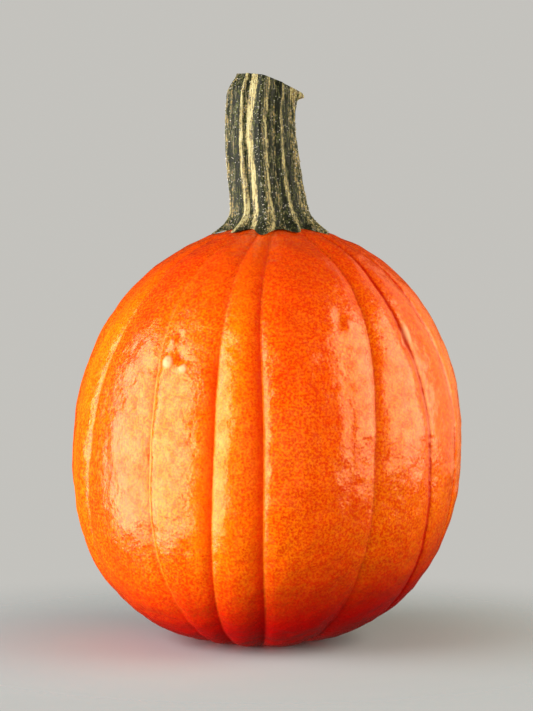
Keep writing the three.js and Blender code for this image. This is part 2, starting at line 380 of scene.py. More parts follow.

# %% [markdown]
# ## The fruit's form
# A pumpkin's ribs are the gaps between its furrows, which run from the stem to the blossom end like
# meridians, but never evenly. So the fruit is a superellipse turned about a slightly leaning axis, cut in by
# sixteen furrows. Each furrow has its own azimuth and swings aside a little at the shoulder and at the base.
# It is a wide shallow valley with a narrow crease at its bottom. The crease's right bank is steep and turns
# to the lamp on the left, which draws a bright thread down it. Its left bank is gentle and lies in the lee of
# that light. The rind's colour adds a thread in each crease, of painted light in some and painted shade in
# others, and painted shade on the lee bank. The blossom end lies a little behind the lowest point.

# %% The sizes of the fruit, in millimetres and degrees
BELLY_RADIUS = 74.5
BELLY_TO_CROWN = 83.8
BELLY_TO_BASE = 76.7
CROWN_POWER = 2.08
BASE_POWER = 2.38
LEAN = 0.03
FLAT_SINK = 1.6
FLOOR_TO_BELLY = BELLY_TO_BASE - FLAT_SINK
BLOSSOM_TILT = math.radians(22)
CREASE_HALF_WIDTH = 3.0
CREASE_NARROWING = 0.6
CREASE_POWER = 1.15
CREASE_STEEP_SIDE = 0.85
CREASE_GENTLE_SIDE = 1.7
CREASE_CROWN_SHARE = 0.4
CREASE_FULL_RADIUS = 62
VALLEY_POWER = 3
BELLY_AT = 0.5
SHOULDER_AT = 0.22
SHOULDER_SPAN = 0.16
BASE_AT = 0.78
BASE_SPAN = 0.14
FURROWS_START_RADIUS = 16
FURROWS_FULL_RADIUS = 26
FURROWS_END_RADIUS = 24
REST_SMOOTH_RADIUS = 22
REST_SMOOTH_POWER = 4
DIMPLE_RADIUS = 9
DIMPLE_DEPTH = 3
BUTTON_RADIUS = 4.5
BUTTON_RIM = 2
BUTTON_HEIGHT = 1.4
POLE_RADIUS = 0.01
print("fruit", 2 * BELLY_RADIUS, "mm across,", round(FLOOR_TO_BELLY + BELLY_TO_CROWN, 1), "mm to the crown")

# %% [markdown]
# ## The furrows one by one
# No two furrows run or catch the light alike. The eight in front have their numbers read off the real fruit:
# the azimuth, the swings, the depth of the valley and of the crease and the crease's width. Then how bright
# the rib on the right is and the thread (painted light above 0, painted shade below 0), how dark the painted
# shade on the lee bank is, and how far the crease fades on the shoulder. The ones round the back are drawn
# by chance, at the same mean spacing.

# %% The furrows
FRONT_FURROWS = {
    "belly": [-82, -64, -35, -15, -0.5, 32.5, 55, 75],
    "shoulder": [6, 3.5, -4, -2, -3.5, 4, -5, -6],
    "base": [-3, -6, 8, 0, 2, -4.5, 3, -2],
    "valley": [0.5, 0.8, 0.8, 0.9, 0.9, 1.4, 0.8, 0.9],
    "crease": [0.7, 0.9, 0.8, 1.2, 1.4, 1.2, 0.8, 0.9],
    "width": [0.7, 0.6, 0.6, 1.0, 1.0, 1.0, 0.3, 0.4],
    "tone": [0.65, 0.15, 0.55, 0.75, 0.20, 0.25, 0.35, 0.50],
    # The thread in each crease: painted light on the left, painted shade (below 0) on the right.
    "painted_thread": [0.6, 0.6, 0.6, 0.6, 0.6, -0.4, -1.0, -1.0],
    # How dark the painted shade on the gentle lee bank of each crease is.
    "lee_shade": [0.2, 0.2, 0.4, 0.8, 1.0, 0.0, 0.0, 0.0],
    "fade": [0.0, 0.0, 0.6, 0.6, 0.2, 0.0, 0.0, 0.0],
}
BACK_FURROW_COUNT = 8
BACK_FURROW_JITTER = 5
BACK_CREASE_SPREAD = 0.6
BACK_LOWEST = (0.5, 0.2, -1, 0)
BACK_HIGHEST = (1, 0.8, 1, 1)
FURROW_SEED = 7
WORD = 0xFFFFFFFF
DRAW_STEP = 0x6D2B79F5


def draw(k):
    """A repeatable draw from -0.5 to 0.5: the number k stirred through 32 bits, as in the solid's source."""
    t = (FURROW_SEED + k + DRAW_STEP) & WORD
    t = ((t ^ t >> 15) * (t | 1)) & WORD
    t ^= (t + ((t ^ t >> 7) * (t | 61))) & WORD
    return ((t ^ t >> 14) & WORD) / 2**32 - 0.5


def back_furrow(k):
    """Furrow k of those round the back: its azimuth, two swings and two depths."""
    last = FRONT_FURROWS["belly"][-1]
    gap = (FRONT_FURROWS["belly"][0] + 360 - last) / (BACK_FURROW_COUNT + 1)
    belly = last + k * gap + BACK_FURROW_JITTER * draw(3 * k)
    return belly, BACK_FURROW_JITTER * draw(3 * k + 1), 0, 1, 1 + BACK_CREASE_SPREAD * draw(3 * k + 2)


courses = [back_furrow(k) for k in range(1, BACK_FURROW_COUNT + 1)]
looks = np.random.default_rng(SEEDS["looks"]).uniform(BACK_LOWEST, BACK_HIGHEST, (BACK_FURROW_COUNT, 4))
back_table = np.column_stack([courses, looks, np.zeros(BACK_FURROW_COUNT)]).T
FURROWS = {name: np.append(FRONT_FURROWS[name], drawn) for name, drawn in zip(FRONT_FURROWS, back_table)}
RIB_COUNT = len(FURROWS["belly"])
print(RIB_COUNT, "furrows at", np.round(FURROWS["belly"]).astype(int).tolist(), "degrees")

# %% [markdown]
# ## Relief on the rind
# Up close the rind isn't smooth. It has shallow dents a few millimetres wide, fine streaks drawn out down the
# ribs, faint crosswise wrinkles low on them, and the marks that a fruit gathers in the field: a cluster of
# warts, a healed nick and some pinpricks. The dents matter most, because they give the highlights their
# broken, watery edges. All of it is real relief in the mesh: noise for the dents, streaks and wrinkles, and a
# hump or a pit with its own place for each mark.

# %% The relief's sizes and the marks' places
DENT_WIDTHS = {9.0: 0.26, 4.6: 0.24, 3.0: 0.09}
WRINKLE_HEIGHT = 0.14
WRINKLE_SPACING = 3.4
WRINKLE_LENGTH = 9
WRINKLE_AT = 0.64
WRINKLE_SPAN = 0.2
STREAK_HEIGHT = 0.06
STREAK_WIDTH = 2.6
BAND_LENGTH = 60
FLANK_LENGTH = 235
COLLAR_RADIUS = 23.2
COLLAR_WIDTH = 2.0
COLLAR_HEIGHT = 0.4
COLLAR_MEAN = 0.65
COLLAR_CELL = 9
WEAK_CREASE = {"azimuth": 24.2, "depth": 0.32, "half_width": 2.2, "at": 0.48, "span": 0.22}
# Each mark: azimuth, height, rise (a pit below 0), width across and length down.
MARKS = [
    (-33.6, 109.8, 1.5, 2.2, 1.8),
    (-27.6, 107.6, 1.3, 1.7, 1.4),
    (-34.0, 117.0, 0.6, 1.6, 1.2),
    (-29.6, 112.0, -1.1, 1.6, 2.6),
    (-31.4, 119.2, -0.5, 1.5, 1.6),
    (-27.5, 123.0, 0.4, 0.6, 0.6),
    (49.8, 116.4, -1.2, 1.6, 2.3),
    (52.8, 119.4, 0.9, 1.9, 4.4),
    (25.0, 125.8, -0.55, 1.4, 2.6),
    (22.0, 125.4, 0.45, 1.3, 4.2),
    (28.6, 123.6, 0.6, 1.6, 2.2),
    (11.0, 116.0, -0.2, 0.9, 0.9),
    (-8.1, 79.5, -0.25, 0.9, 1.0),
    (-24.6, 38.5, -0.25, 1.0, 0.9),
    (-20.9, 37.2, -0.25, 1.2, 0.8),
    (157.0, 92.0, -0.6, 1.1, 2.8),
    (160.0, 91.0, 0.4, 1.5, 3.4),
    (-121.0, 60.0, 0.45, 1.4, 1.3),
]


def mark_relief(azimuth, height):
    """The sum of the marks: each a rounded hump or pit, wide and tall in mm on the surface."""
    relief = np.zeros_like(height)
    for mark_azimuth, mark_height, mark_rise, wide, tall in MARKS:
        aside = wrapped(azimuth - math.radians(mark_azimuth)) * BELLY_RADIUS
        relief += mark_rise * np.exp(-((aside / wide) ** 2) - ((height - mark_height) / tall) ** 2)
    return relief


def drawn_out_noise(azimuth, s, width, seed):
    """Noise in bands down the ribs, read off a cylinder, so that it meets itself after a full turn."""
    x = BELLY_RADIUS * np.sin(azimuth) / width
    y = BELLY_RADIUS * np.cos(azimuth) / width
    return lattice_noise(np.stack([x, y, FLANK_LENGTH * s / BAND_LENGTH + 0 * x], axis=-1), 1, seed)


def rind_relief(points, azimuth, ring, s):
    """Dents, wrinkles, streaks, a swollen collar round the stem's foot and one weak crease, in mm."""
    relief = np.zeros(points.shape[:-1])
    for i, (cell, dent_height) in enumerate(DENT_WIDTHS.items()):
        relief += dent_height * lattice_noise(points, cell, SEEDS["dents"] + i)
    stretched = points / (WRINKLE_LENGTH, WRINKLE_LENGTH, WRINKLE_SPACING)
    wrinkles = lattice_noise(stretched, 1, SEEDS["wrinkles"])
    relief += WRINKLE_HEIGHT * wrinkles * hump(s, WRINKLE_AT, WRINKLE_SPAN)
    relief += STREAK_HEIGHT * drawn_out_noise(azimuth, s, STREAK_WIDTH, SEEDS["streaks"])
    uneven = COLLAR_MEAN + (1 - COLLAR_MEAN) * lattice_noise(points, COLLAR_CELL, SEEDS["collar"])
    relief += COLLAR_HEIGHT * uneven * hump(ring, COLLAR_RADIUS, COLLAR_WIDTH) * (s < BELLY_AT)
    aside = wrapped(azimuth - math.radians(WEAK_CREASE["azimuth"])) * ring / WEAK_CREASE["half_width"]
    down_it = hump(s, WEAK_CREASE["at"], WEAK_CREASE["span"])
    return relief - WEAK_CREASE["depth"] * hump(aside, 0, 1) * down_it


print("relief from", len(MARKS), "marks and", len(DENT_WIDTHS), "sizes of dent")

# %% [markdown]
# ## The skin as one function
# A point of the skin has two parameters: how far across its rib it lies, and how far down. From them come a
# direction from the belly's centre and a distance along it: the crest of the ribs, less the two furrows on
# either side, with the blossom end and the relief added. The same function works out what the colour follows
# at that point, because the furrows' places are known only here.

# %% The skin's points and what its colour follows
# The thread of painted light or painted shade in each crease: its width, its share on the left bank, its
# fade.
THREAD_WIDTH = 0.9
THREAD_LEFT_SHARE = 0.6
THREAD_FADE = (104, 124)
CREASE_RETURN = (142, 152)
RIB_BLEND = 0.15
LOW_TONE = 0.35
LOW_TONE_ENDS = (15, 55)
BAND_WIDTH = 8
BAND_STRENGTH = 0.3
REST_RELIEF_ENDS = (8, 24)


def crest_points(azimuth, polar):
    """Directions from the belly's centre, and how far along each the crests of the ribs lie."""
    tilt = BLOSSOM_TILT * (polar / math.pi) ** 2
    x = np.sin(polar) * np.sin(azimuth)
    flat_y = -np.sin(polar) * np.cos(azimuth)
    y = flat_y * np.cos(tilt) - np.cos(polar) * np.sin(tilt)
    z = flat_y * np.sin(tilt) + np.cos(polar) * np.cos(tilt)
    height = np.where(z > 0, BELLY_TO_CROWN, BELLY_TO_BASE)
    power = np.where(z > 0, CROWN_POWER, BASE_POWER)
    across = np.hypot(x, y) / BELLY_RADIUS
    reach = (across**power + (np.abs(z) / height) ** power) ** (-1 / power)
    return np.stack([x, y, z], axis=-1), reach


def furrow_azimuth(k, s):
    """The azimuth of furrow k at share s of the way down, counted on past a full turn."""
    here = k % RIB_COUNT
    shoulder = FURROWS["shoulder"][here] * hump(s, SHOULDER_AT, SHOULDER_SPAN)
    base = FURROWS["base"][here] * hump(s, BASE_AT, BASE_SPAN)
    return np.radians(FURROWS["belly"][here] + shoulder + base + 360 * (k // RIB_COUNT))


def furrow_bank(k, away, rib_width, half_width, sharp):
    """One bank of a furrow: a valley that spans the rib and a crease at its edge, both deepest where away
    is 0. Returns the depth, and how near the crease is from 0 to 1."""
    here = k % RIB_COUNT
    near = np.exp(-((away * rib_width / (half_width * FURROWS["width"][here])) ** CREASE_POWER))
    return FURROWS["valley"][here] * (1 - away) ** VALLEY_POWER + sharp * FURROWS["crease"][here] * near, near


def rib_tone(k, v, s, azimuth, height):
    """How bright the rib is: its tone, blended at the furrows and evened low down, plus drawn-out noise."""
    tone = FURROWS["tone"][k % RIB_COUNT]
    before = FURROWS["tone"][(k - 1) % RIB_COUNT]
    after = FURROWS["tone"][(k + 1) % RIB_COUNT]
    band = tone + 0.5 * (before - tone) * (1 - smoothstep(v, 0, RIB_BLEND))
    band = band + 0.5 * (after - tone) * smoothstep(v, 1 - RIB_BLEND, 1)
    band = LOW_TONE + (band - LOW_TONE) * smoothstep(height, *LOW_TONE_ENDS)
    return band + BAND_STRENGTH * drawn_out_noise(azimuth, s, BAND_WIDTH, SEEDS["bands"])


def painted_thread_number(k, v, rib_width, height):
    """The thin line in each crease: painted light above 0, painted shade below 0. A bright one fades out on
    the shoulder.
    """
    right = FURROWS["painted_thread"][k % RIB_COUNT] * hump(v * rib_width, 0, THREAD_WIDTH)
    left_width = THREAD_WIDTH * THREAD_LEFT_SHARE
    left = FURROWS["painted_thread"][(k + 1) % RIB_COUNT] * hump((1 - v) * rib_width, 0, left_width)
    painted_thread = right + left
    return np.where(painted_thread > 0, painted_thread * (1 - smoothstep(height, *THREAD_FADE)), painted_thread)


def skin_points(k, v, s):
    """Points on rib k, at v across it and s of the way down, and what the colour follows there."""
    polar = math.pi * s
    left = furrow_azimuth(k, s)
    right = furrow_azimuth(k + 1, s)
    azimuth = left + (right - left) * v
    ray, reach = crest_points(azimuth, polar)
    ring = np.maximum(reach * np.sin(polar), POLE_RADIUS)
    crest = ray * reach[..., None]
    height = crest[..., 2] + FLOOR_TO_BELLY
    from_blossom = reach * (math.pi - polar)
    from_lowest = np.linalg.norm(crest + (0, 0, BELLY_TO_BASE), axis=-1)

    girth = np.where(s < BELLY_AT, ring, BELLY_RADIUS)
    shown = smoothstep(girth, FURROWS_START_RADIUS, FURROWS_FULL_RADIUS)
    shown *= smoothstep(from_blossom, BUTTON_RADIUS, FURROWS_END_RADIUS)
    shown *= 1 - np.exp(-((from_lowest / REST_SMOOTH_RADIUS) ** REST_SMOOTH_POWER))
    opened = smoothstep(girth, FURROWS_FULL_RADIUS, CREASE_FULL_RADIUS)
    sharp = CREASE_CROWN_SHARE + (1 - CREASE_CROWN_SHARE) * opened
    on_shoulder = smoothstep(height, *THREAD_FADE) * (1 - smoothstep(height, *CREASE_RETURN))
    sharp_left = sharp * (1 - FURROWS["fade"][k % RIB_COUNT] * on_shoulder)
    sharp_right = sharp * (1 - FURROWS["fade"][(k + 1) % RIB_COUNT] * on_shoulder)
    half_width = CREASE_HALF_WIDTH * (ring / BELLY_RADIUS) ** CREASE_NARROWING
    rib_width = (right - left) * ring
    steep, on_steep = furrow_bank(k, v, rib_width, half_width * CREASE_STEEP_SIDE, sharp_left)
    gentle, on_gentle = furrow_bank(k + 1, 1 - v, rib_width, half_width * CREASE_GENTLE_SIDE, sharp_right)

    dimple = DIMPLE_DEPTH * hump(from_blossom, 0, DIMPLE_RADIUS)
    button = BUTTON_HEIGHT * (1 - smoothstep(from_blossom, BUTTON_RADIUS - BUTTON_RIM, BUTTON_RADIUS))
    relief = rind_relief(crest, azimuth, ring, s) * smoothstep(from_lowest, *REST_RELIEF_ENDS)
    marks = mark_relief(azimuth, height)
    points = ray * (reach - shown * (steep + gentle) - dimple + button + relief + marks)[..., None]
    points[..., 0] += LEAN * (points[..., 2] + BELLY_TO_BASE)
    points[..., 2] = np.maximum(points[..., 2] + FLOOR_TO_BELLY, 0)
    # The lee and thread numbers carry painted shade and painted light into the rind's colour.
    return points, {
        "furrow": shown * np.maximum(on_steep, on_gentle),
        "lee_shade": shown * on_gentle * sharp_right * FURROWS["lee_shade"][(k + 1) % RIB_COUNT],
        "band": rib_tone(k, v, s, azimuth, height),
        "painted_thread": shown * sharp * painted_thread_number(k, v, rib_width, height),
        "from_blossom": from_blossom,
        "mark": marks,
    }


print("a rib is", round(2 * math.pi * BELLY_RADIUS / RIB_COUNT), "mm wide on average")

# %% [markdown]
# ## The fruit's mesh
# The grid's columns are shared out among the ribs by their width and crowded a little towards the furrows,
# where the surface turns fastest. Six numbers are stored for every point, because the skin's colour follows
# them: how near it is to a furrow, how much painted shade it has in a crease's lee, how bright its rib is,
# the thread of painted light or painted shade in the crease, how far the blossom end is, and how high a mark
# stands there.

# %% Build the fruit
FRUIT_COLUMNS = 448
FRUIT_ROWS = 214
FURROW_CROWDING = 0.45
BLOSSOM_CROWDING = 1.08


def fruit_columns():
    """The rib of each column and its place across that rib, crowded towards the furrows by a sine."""
    edges = furrow_azimuth(np.arange(RIB_COUNT + 1), BELLY_AT)
    counts = np.round(np.diff(edges) / (2 * math.pi) * FRUIT_COLUMNS).astype(int)
    rib = np.repeat(np.arange(RIB_COUNT), counts)
    even = np.concatenate([np.arange(count) / count for count in counts])
    return rib, even - FURROW_CROWDING * np.sin(2 * math.pi * even) / (2 * math.pi)


rib, across_rib = fruit_columns()
down = 1 - (1 - np.arange(1, FRUIT_ROWS) / FRUIT_ROWS) ** BLOSSOM_CROWDING
rings, followed = skin_points(rib[None, :], across_rib[None, :], down[:, None])
poles, followed_poles = skin_points(np.array([0, 0]), np.array([0.0, 0.0]), np.array([0.0, 1.0]))
fruit = closed_skin("rind", poles[0], rings, poles[1])
for name, values in followed.items():
    store_numbers(fruit, name, followed_poles[name][0], values, followed_poles[name][1])
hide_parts("fruit")
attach(fruit, "root")
print("rind", rings.shape, "points, highest", round(rings[..., 2].max(), 1), "mm")

# %% [markdown]
# ## Rind
# Ripe rind is a saturated orange that deepens to red low on the fruit, under a patchy wax. That red is partly
# the rind's own and partly painted shade, and it reaches higher on the right, the less lit side. Colour
# first:
# a deep and a bright orange mixed by cloudy mottling and by each rib's tone, a redder crown, a fine dark
# grain and flecks. Then come the layers that follow the mesh's numbers: painted shade on the lee banks,
# threads of painted light and painted shade in the creases, the red base, pale warts, pits darkened with
# painted shade and the corky button. The wax is the shader's own gloss, stronger and weaker in patches, and
# dents and pores too small for the mesh are a bump. The wax's patches are plain nodes and not a group,
# because only some of the shader's inputs may read a group.

# %% The rind's colours and layers
DEEP_ORANGE = (0.82, 0.080, 0.001, 1)
BRIGHT_ORANGE = (0.98, 0.260, 0.001, 1)
# Deep red low down: partly the rind's own colour, partly painted shade; it also paints the dark threads.
LOW_RED_AND_SHADE = (0.56, 0.0008, 0.0008, 1)
CROWN_ORANGE = (0.84, 0.080, 0.001, 1)
# The red of the grain and the flecks, also used as painted shade on the lee banks.
FLECK_AND_SHADE_RED = (0.66, 0.012, 0.001, 1)
# Painted light along the bright threads.
PAINTED_LIGHT_YELLOW = (1.0, 0.27, 0.003, 1)
SCAR_TAN = (0.34, 0.20, 0.09, 1)
WART_PALE = (0.93, 0.40, 0.20, 1)
# Painted shade in the deeper pits.
PIT_SHADE_RED = (0.66, 0.030, 0.001, 1)
GLOSS_TINT = (1, 0.76, 0.36, 1)
CLOUD_SHARE = 0.3
TONE_SHARE = 0.6
PATCH_SHARE = 0.2
FLECK_STRENGTH = 0.6
# Slants the red base higher on the right, the less lit side, as painted shade.
PAINTED_SHADE_SLANT = 0.15
# Each change: where the number that it follows starts and ends, and what comes out there.
CROWN_CHANGE = (0.115, 0.150, 0.0, 0.8)
GRAIN_CHANGE = (0.3, 0.9, 0.75, 0.35)
COLOUR_LAYERS = [
    # Painted shade on the lee banks.
    ("lee_shade", (0.1, 0.8, 0.0, 0.75), FLECK_AND_SHADE_RED),
    # Painted light: the bright threads.
    ("painted_thread", (0.25, 0.9, 0.0, 0.75), PAINTED_LIGHT_YELLOW),
    # Painted shade: the dark threads.
    ("painted_thread", (-0.7, -0.15, 0.8, 0.0), LOW_RED_AND_SHADE),
    # The red base: the rind's own deeper red and painted shade.
    ("height slanted for shade", (0.008, 0.044, 1.0, 0.0), LOW_RED_AND_SHADE),
    ("mark", (0.15, 0.8, 0.0, 0.85), WART_PALE),
    # Painted shade in the pits.
    ("mark", (-1.1, -0.35, 0.8, 0.0), PIT_SHADE_RED),
    ("from_blossom", (3.6, 5.2, 1.0, 0.0), SCAR_TAN),
]
ROUGH_PATCHES = (0.2, 0.8, 0.20, 0.30)
ROUGH_FURROWS = (0.6, 1.0, 0.0, 0.15)
ROUGH_MARKS = (0.2, 0.7, 0.0, 0.25)
WAX_BLOOM = (0.1, 0.9, 0.42, 0.72)
WAX_PATCHES = (0.1, 0.9, 0.0, 0.28)
WAX_IN_LEE = (0.1, 0.8, 1.0, 0.15)
WAX_LOW_DOWN = (0.0, 0.035, 0.4, 1.0)
BLOOM_SIZE = 5.5
BLOOM_CONTRAST = 3.0
PATCH_SIZE = 3.2
PATCH_CONTRAST = 2.4
DENT_BUMP = 0.0003
PORE_BUMP = 0.0002
print(len(COLOUR_LAYERS), "layers over the mottled orange")

# %% The rind's material


def rind_colour(tree, place, number, patches):
    """Mottled orange, a redder crown, grain and flecks, then each layer over the ones before it."""
    clouds = use(tree, MOTTLE, {"Place": place, "Size": 14.0, "Contrast": 1.8})
    brightness = calculate(tree, "MULTIPLY", clouds, CLOUD_SHARE)
    for mask, share in ((number["band"], TONE_SHARE), (patches, PATCH_SHARE)):
        brightness = calculate(tree, "ADD", brightness, calculate(tree, "MULTIPLY", mask, share))
    colour = blend_colours(tree, brightness, DEEP_ORANGE, BRIGHT_ORANGE)
    colour = blend_colours(tree, span(tree, number["height"], *CROWN_CHANGE), colour, CROWN_ORANGE)
    grain = use(tree, MOTTLE, {"Place": place, "Size": 0.85, "Contrast": 6.0})
    grain = calculate(tree, "MULTIPLY", grain, span(tree, number["band"], *GRAIN_CHANGE))
    colour = blend_colours(tree, grain, colour, FLECK_AND_SHADE_RED)
    flecks = use(tree, SPECKLE, {"Place": place, "Size": 1.1, "Share": 0.5})
    colour = blend_colours(tree, calculate(tree, "MULTIPLY", flecks, FLECK_STRENGTH), colour, FLECK_AND_SHADE_RED)
    for name, change, tint in COLOUR_LAYERS:
        colour = blend_colours(tree, span(tree, number[name], *change), colour, tint)
    return colour


def rind_material():
    """Waxy rind: its colour, its roughness, the strength of its gloss, and dents and pores in a bump."""
    material, tree, skin, place = new_material("waxy_rind")
    number = {name: stored_number(tree, name) for name in followed}
    parts = add(tree, "ShaderNodeSeparateXYZ", {0: place}).outputs
    number["height"] = parts["Z"]
    # The red base is slanted higher on the right, the less lit side, as painted shade.
    slant = calculate(tree, "MULTIPLY", parts["X"], PAINTED_SHADE_SLANT)
    number["height slanted for shade"] = calculate(tree, "SUBTRACT", parts["Z"], slant)
    patches = use(tree, MOTTLE, {"Place": place, "Size": PATCH_SIZE, "Contrast": PATCH_CONTRAST})
    tree.links.new(rind_colour(tree, place, number, patches), skin.inputs["Base Color"])

    rough = span(tree, patches, *ROUGH_PATCHES)
    for name, change in (("furrow", ROUGH_FURROWS), ("mark", ROUGH_MARKS)):
        rough = calculate(tree, "ADD", rough, span(tree, number[name], *change))
    tree.links.new(rough, skin.inputs["Roughness"])

    bloom = cloudy(tree, place, PER_METRE / BLOOM_SIZE, BLOOM_CONTRAST)
    worn = cloudy(tree, place, PER_METRE / PATCH_SIZE, PATCH_CONTRAST)
    wax = calculate(tree, "ADD", span(tree, bloom, *WAX_BLOOM), span(tree, worn, *WAX_PATCHES))
    for name, change in (("lee_shade", WAX_IN_LEE), ("height", WAX_LOW_DOWN)):
        wax = calculate(tree, "MULTIPLY", wax, span(tree, number[name], *change))
    tree.links.new(wax, skin.inputs["Specular IOR Level"])
    skin.inputs["Specular Tint"].default_value = GLOSS_TINT

    dents = use(tree, MOTTLE, {"Place": place, "Size": 2.8, "Contrast": 1.0})
    hammered = add(tree, "ShaderNodeBump", {"Strength": 1.0, "Distance": DENT_BUMP, "Height": dents})
    pores = use(tree, PORES, {"Place": place, "Size": 1.3})
    values = {"Strength": 0.5, "Distance": PORE_BUMP, "Height": pores, "Normal": hammered.outputs[0]}
    tree.links.new(add(tree, "ShaderNodeBump", values).outputs[0], skin.inputs["Normal"])
    return material


fruit.data.materials.append(rind_material())
print("rind finished with", len(fruit.data.materials[0].node_tree.nodes), "nodes")

# %% [markdown]
# ## The stem's form
# The stem is a bundle of hard ridges: five main ones with five lesser ones between them, slightly twisted,
# that spread into a foot with a toe under each ridge. Its radius is a smooth curve along a bent axis, swelled
# and cut in by cosines of the angle round it, with fibres drawn out along its length. The upper end was cut
# on a slant and has dried into a shallow dish, drawn in at its left corner, with a stub of vine at the right.

# %% The sizes of the stem
STEM_GAP = 0.3
FOOT_CENTRE_X = 4.8
STEM_AXIS = [
    [FOOT_CENTRE_X, 0, 0], [5, 0.1, 0.07], [3.4, 0.3, 0.22],
    [1, 0.8, 0.5], [0, 1.6, 0.76], [0.8, 2.6, 1],
]
STEM_RADII = [
    [19.3, 0], [16.9, 0.05], [14.4, 0.13], [13.5, 0.28],
    [13, 0.5], [12.1, 0.78], [12.2, 0.93], [11.6, 1],
]
STEM_TOP_Z = 214.7
CUT_SLOPE = 0.25
CUT_BOW = 0.0104
CUT_BACK_SLOPE = 0.06
CUT_DISH = 1.6
RIDGE_COUNT = 5
FRONT_RIDGE_ANGLE = math.radians(-11)
RIDGE_TWIST = math.radians(12)
RIDGE_HEIGHT = 0.06
LESSER_RIDGE_HEIGHT = 0.06
THREAD_HEIGHT = 0.02
FOOT_TOOTH_HEIGHT = 0.10
FOOT_TOOTH_SPAN = 0.08
CROWN_PASSES = 6
CORNER_ANGLE = math.radians(-90)
CORNER_INSET = 3
CORNER_HALF_ANGLE = math.radians(55)
CORNER_SPAN = 0.08
SPUR_ANGLE = math.radians(80)
SPUR_REACH = 3.4
SPUR_HALF_ANGLE = math.radians(13)
SPUR_AT = 0.985
SPUR_SPAN = 0.04
FIBRE_HEIGHT = 0.22
FIBRE_WIDTH = 1.0
FIBRE_LENGTH = 14
KNOB_HEIGHT = 0.14
KNOB_WIDTH = 1.3


def crown_height(x, y):
    """The height of the smooth crown above a place under the stem, settled in a few passes."""
    up = BELLY_TO_CROWN
    for _ in range(CROWN_PASSES):
        across = np.hypot(x - LEAN * (up + BELLY_TO_BASE), y) / BELLY_RADIUS
        up = BELLY_TO_CROWN * (1 - across**CROWN_POWER) ** (1 / CROWN_POWER)
    return up + FLOOR_TO_BELLY


def stem_radius(azimuth, w):
    """The stem's radius: ridges, toes, the drawn-in corner, the vine's spur, and drawn-out fibres."""
    turned = azimuth - (FRONT_RIDGE_ANGLE + RIDGE_TWIST * w)
    ridges = RIDGE_HEIGHT * np.cos(RIDGE_COUNT * turned)
    ridges += LESSER_RIDGE_HEIGHT * np.cos(2 * RIDGE_COUNT * turned)
    ridges += THREAD_HEIGHT * np.cos(4 * RIDGE_COUNT * turned)
    teeth = FOOT_TOOTH_HEIGHT * np.cos(2 * RIDGE_COUNT * turned) * hump(w, 0, FOOT_TOOTH_SPAN)
    corner = CORNER_INSET * hump(wrapped(azimuth - CORNER_ANGLE), 0, CORNER_HALF_ANGLE)
    spur = SPUR_REACH * hump(wrapped(azimuth - SPUR_ANGLE), 0, SPUR_HALF_ANGLE)
    ends = spur * hump(w, SPUR_AT, SPUR_SPAN) - corner * hump(w, 1, CORNER_SPAN)
    mean = through(STEM_RADII, w)
    length = STEM_TOP_Z - BELLY_TO_CROWN - FLOOR_TO_BELLY
    unrolled = np.stack([mean * np.sin(turned), mean * np.cos(turned), w * length + 0 * turned], axis=-1)
    fibres = lattice_noise(unrolled / (FIBRE_WIDTH, FIBRE_WIDTH, FIBRE_LENGTH), 1, SEEDS["fibres"])
    knobs = lattice_noise(unrolled, KNOB_WIDTH, SEEDS["knobs"])
    return mean * (1 + ridges + teeth) + ends + FIBRE_HEIGHT * fibres + KNOB_HEIGHT * knobs


def stem_points(azimuth, w, inward=1.0):
    """Points of the stem's side; inward shrinks a ring towards the axis, for the foot and the cut end."""
    radius = stem_radius(azimuth, w) * inward
    x = through(STEM_AXIS, w, 0) + radius * np.sin(azimuth)
    y = through(STEM_AXIS, w, 1) - radius * np.cos(azimuth)
    foot = stem_radius(azimuth, np.zeros_like(w))
    side_floor = crown_height(FOOT_CENTRE_X + foot * np.sin(azimuth), -foot * np.cos(azimuth))
    under = np.where(w == 0, crown_height(x, y), side_floor)
    right = x - through(STEM_AXIS, 1.0, 0)
    back = y - through(STEM_AXIS, 1.0, 1)
    top = STEM_TOP_Z - CUT_SLOPE * right - CUT_BOW * right**2 - CUT_BACK_SLOPE * back
    return np.stack([x, y, under + STEM_GAP + (top - under - STEM_GAP) * w], axis=-1)


print("stem from", STEM_RADII[0][0], "mm radius at the foot to", STEM_RADII[-1][0], "mm at the cut")

# %% [markdown]
# ## The stem's mesh and its stripes
# Dried stems are striped along the ridges: near-black green in the furrows, olive and cream on their sides,
# with ochre where the skin has died back, and a pale stub of vine. The near-black is partly the stem's own
# colour and partly painted shade. The stripes follow the twist, so they are worked out here as one number for
# every point, from a list of places round the stem, and wander a little as they rise. The shader turns the
# number into colour.

# %% The stripes
DARK, GREEN, OLIVE, GREY, OCHRE, CREAM = 0.0, 0.2, 0.4, 0.55, 0.75, 1.0
STRIPES = [
    (-95, GREEN), (-86, CREAM), (-78, CREAM), (-72, OLIVE), (-62, GREEN), (-58, DARK), (-50, DARK),
    (-46, OCHRE), (-43, CREAM), (-37, CREAM), (-34, GREEN), (-30, OLIVE), (-27, CREAM), (-17, CREAM),
    (-14, DARK), (-4, DARK), (-1, GREY), (3, GREY), (5, CREAM), (7, OCHRE), (10, DARK), (16, GREEN),
    (19, OLIVE), (23, OLIVE), (26, DARK), (32, DARK), (35, OCHRE), (41, OCHRE), (45, GREEN), (54, DARK),
    (60, GREY), (72, OLIVE), (80, CREAM), (88, GREEN),
]
STRIPE_WANDER = 4
STRIPE_WANDER_CELL = (5, 5, 16)
STRIPE_LEVEL = 0.56
BACK_STRIPES_FROM = 95
BACK_STRIPES_ACROSS = 168
BACK_STRIPE_DRAWS = 40
SPUR_SHADE = 0.9
SPUR_SHADE_HALF_ANGLE = 1.6 * SPUR_HALF_ANGLE
SPUR_SHADE_SPAN = 2 * SPUR_SPAN


